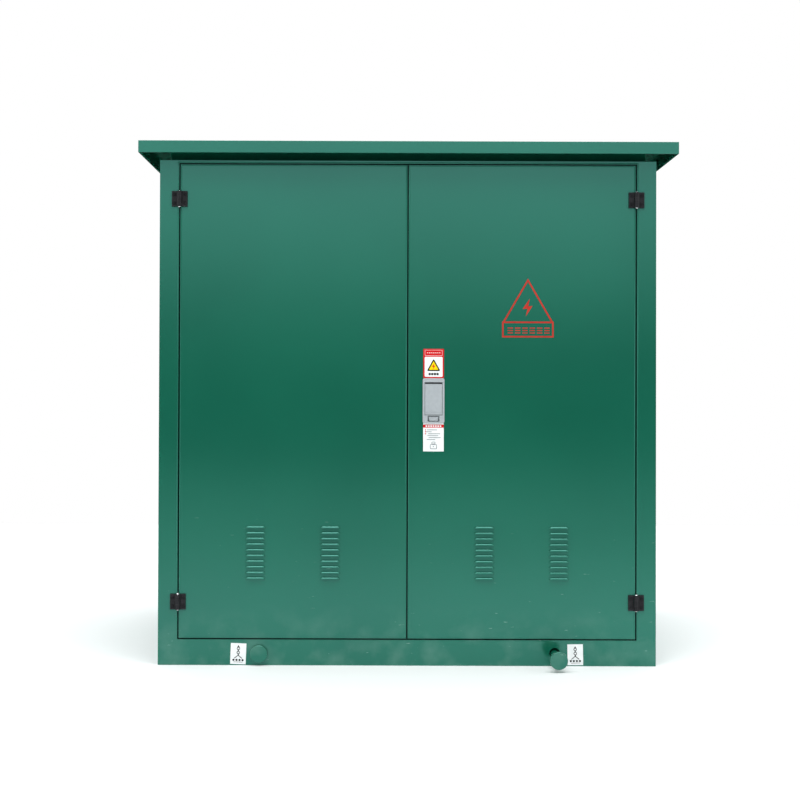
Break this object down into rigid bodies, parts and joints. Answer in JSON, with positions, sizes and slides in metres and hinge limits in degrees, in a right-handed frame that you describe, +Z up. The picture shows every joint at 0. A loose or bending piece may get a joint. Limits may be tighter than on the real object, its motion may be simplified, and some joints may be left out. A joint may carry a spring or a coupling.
{
  "type": "pad-mounted transformer kiosk",
  "caption": "Outdoor steel transformer kiosk with hinged louvred doors, flush lock, canopy roof and retractable lifting pins.",
  "frame": {"origin": "centre of the base frame's underside, on the pad", "axes": "+X to the right seen from the doors, +Y from the doors to the back, +Z up"},
  "size_m": [1.377, 1.141, 1.35],
  "materials": {
    "green_paint": "powder coated, slight orange peel",
    "galvanised_steel": "zinc coated",
    "zinc_fasteners": "zinc plated",
    "black_hinge": "matt black die casting",
    "bright_pin": "bright",
    "rubber": "matt",
    "lock_grey": "satin grey",
    "insulating_sheet": "laminated insulating board",
    "tank_paint": "gloss grey",
    "core_steel": "laminated",
    "winding_copper": "enamelled copper",
    "porcelain": "brown glaze",
    "tinned_brass": "plain",
    "gauge_case": "black",
    "handle_red": "gloss"
  },
  "bodies": {
    "kiosk": {"base_frame": "green_paint", "bulkhead": "galvanised_steel", "cable_grommets": "rubber", "canopy_roof": "green_paint", "centre_post": "galvanised_steel", "compartment_barrier": "insulating_sheet", "cooling_fins": "tank_paint", "corner_posts": "galvanised_steel", "cover_bolts": "zinc_fasteners", "cover_gasket": "rubber", "earth_bar": "tinned_brass", "front_frame": "green_paint", "gland_plates": "galvanised_steel", "high_voltage_coils": "winding_copper", "hinge_frame_leaves": "black_hinge", "hinge_pins": "bright_pin", "hv_bushing_caps": "rubber", "hv_bushings": "porcelain", "left_side_panel": "green_paint", "lifting_pin_tubes": "galvanised_steel", "low_voltage_coils": "winding_copper", "lv_bushings": "porcelain", "lv_terminals": "tinned_brass", "magnetic_core": "core_steel", "oil_level_gauge": "gauge_case", "panel_bolts": "zinc_fasteners", "pressure_relief_valve": "gauge_case", "rear_panel": "green_paint", "right_side_panel": "green_paint", "roof_fasteners": "zinc_fasteners", "roof_neck": "green_paint", "tank_cover": "tank_paint", "tank_rails": "galvanised_steel", "transformer_tank": "tank_paint"},
    "left_door": {"left_door": "green_paint", "left_door_seal": "rubber", "left_door_stiffeners": "galvanised_steel", "left_door_hinge_leaves": "black_hinge", "flush_bolt_guides": "galvanised_steel"},
    "upper_bolt": {"upper_flush_bolt": "galvanised_steel"},
    "lower_bolt": {"lower_flush_bolt": "galvanised_steel"},
    "right_door": {"right_door": "green_paint", "right_door_seal": "rubber", "right_door_stiffeners": "galvanised_steel", "right_door_hinge_leaves": "black_hinge", "lock_housing": "lock_grey", "lock_flap_pin": "zinc_fasteners", "lock_rod_guides": "galvanised_steel"},
    "flap": {"lock_flap": "lock_grey"},
    "button": {"lock_button": "lock_grey"},
    "pinion": {"lock_pinion": "galvanised_steel"},
    "upper_rod": {"upper_lock_rod": "galvanised_steel"},
    "lower_rod": {"lower_lock_rod": "galvanised_steel"},
    "front_left_pin": {"front_left_lifting_pin": "green_paint"},
    "front_right_pin": {"front_right_lifting_pin": "green_paint"},
    "rear_left_pin": {"rear_left_lifting_pin": "green_paint"},
    "rear_right_pin": {"rear_right_lifting_pin": "green_paint"},
    "switch_handle": {"load_break_handle": "handle_red"},
    "tap_handle": {"tap_changer_handle": "handle_red"},
    "drain_handle": {"drain_valve_handle": "handle_red"}
  },
  "joints": [
    {"name": "left_door_swing", "type": "hinge", "parent": "kiosk", "child": "left_door", "pos_m": [-0.5885, -0.5065, 0.68], "axis": [0, 0, -1], "range_deg": [0, 115]},
    {"name": "right_door_swing", "type": "hinge", "parent": "kiosk", "child": "right_door", "pos_m": [0.5885, -0.5065, 0.68], "axis": [0, 0, 1], "range_deg": [0, 115]},
    {"name": "upper_bolt_slide", "type": "slide", "parent": "left_door", "child": "upper_bolt", "axis": [0, 0, 1], "range_m": [0, 0.024]},
    {"name": "lower_bolt_slide", "type": "slide", "parent": "left_door", "child": "lower_bolt", "axis": [0, 0, -1], "range_m": [0, 0.024]},
    {"name": "flap_lift", "type": "hinge", "parent": "right_door", "child": "flap", "pos_m": [0.067, -0.496, 0.72], "axis": [-1, 0, 0], "range_deg": [0, 70]},
    {"name": "button_press", "type": "slide", "parent": "right_door", "child": "button", "axis": [0, 1, 0], "range_m": [0, 0.003], "stiffness_N_per_m": 300, "springref_m": -0.002},
    {"name": "pinion_turn", "type": "hinge", "parent": "right_door", "child": "pinion", "pos_m": [0.067, -0.462, 0.681], "axis": [0, -1, 0], "range_deg": [0, 90.5]},
    {"name": "upper_rod_slide", "type": "slide", "parent": "right_door", "child": "upper_rod", "axis": [0, 0, -1], "range_m": [0, 0.0159]},
    {"name": "lower_rod_slide", "type": "slide", "parent": "right_door", "child": "lower_rod", "axis": [0, 0, 1], "range_m": [0, 0.0159]},
    {"name": "front_left_pin_slide", "type": "slide", "parent": "kiosk", "child": "front_left_pin", "axis": [0, -1, 0], "range_m": [0, 0.08]},
    {"name": "front_right_pin_slide", "type": "slide", "parent": "kiosk", "child": "front_right_pin", "axis": [0, -1, 0], "range_m": [-0.08, 0]},
    {"name": "rear_left_pin_slide", "type": "slide", "parent": "kiosk", "child": "rear_left_pin", "axis": [0, 1, 0], "range_m": [0, 0.08]},
    {"name": "rear_right_pin_slide", "type": "slide", "parent": "kiosk", "child": "rear_right_pin", "axis": [0, 1, 0], "range_m": [0, 0.08]},
    {"name": "switch_handle_turn", "type": "hinge", "parent": "kiosk", "child": "switch_handle", "pos_m": [-0.18, -0.23, 0.4], "axis": [0, -1, 0], "range_deg": [-45, 45]},
    {"name": "tap_handle_turn", "type": "hinge", "parent": "kiosk", "child": "tap_handle", "pos_m": [0.06, -0.23, 0.42], "axis": [0, -1, 0], "range_deg": [-60, 60]},
    {"name": "drain_handle_turn", "type": "hinge", "parent": "kiosk", "child": "drain_handle", "pos_m": [0.28, -0.236, 0.15], "axis": [0, 0, 1], "range_deg": [0, 90]}
  ],
  "couplings": [
    {"joint": "pinion_turn", "follows": "flap_lift", "ratio": 1.2857},
    {"joint": "upper_rod_slide", "follows": "flap_lift", "m_per_rad": 0.012857},
    {"joint": "lower_rod_slide", "follows": "flap_lift", "m_per_rad": 0.012857}
  ]
}
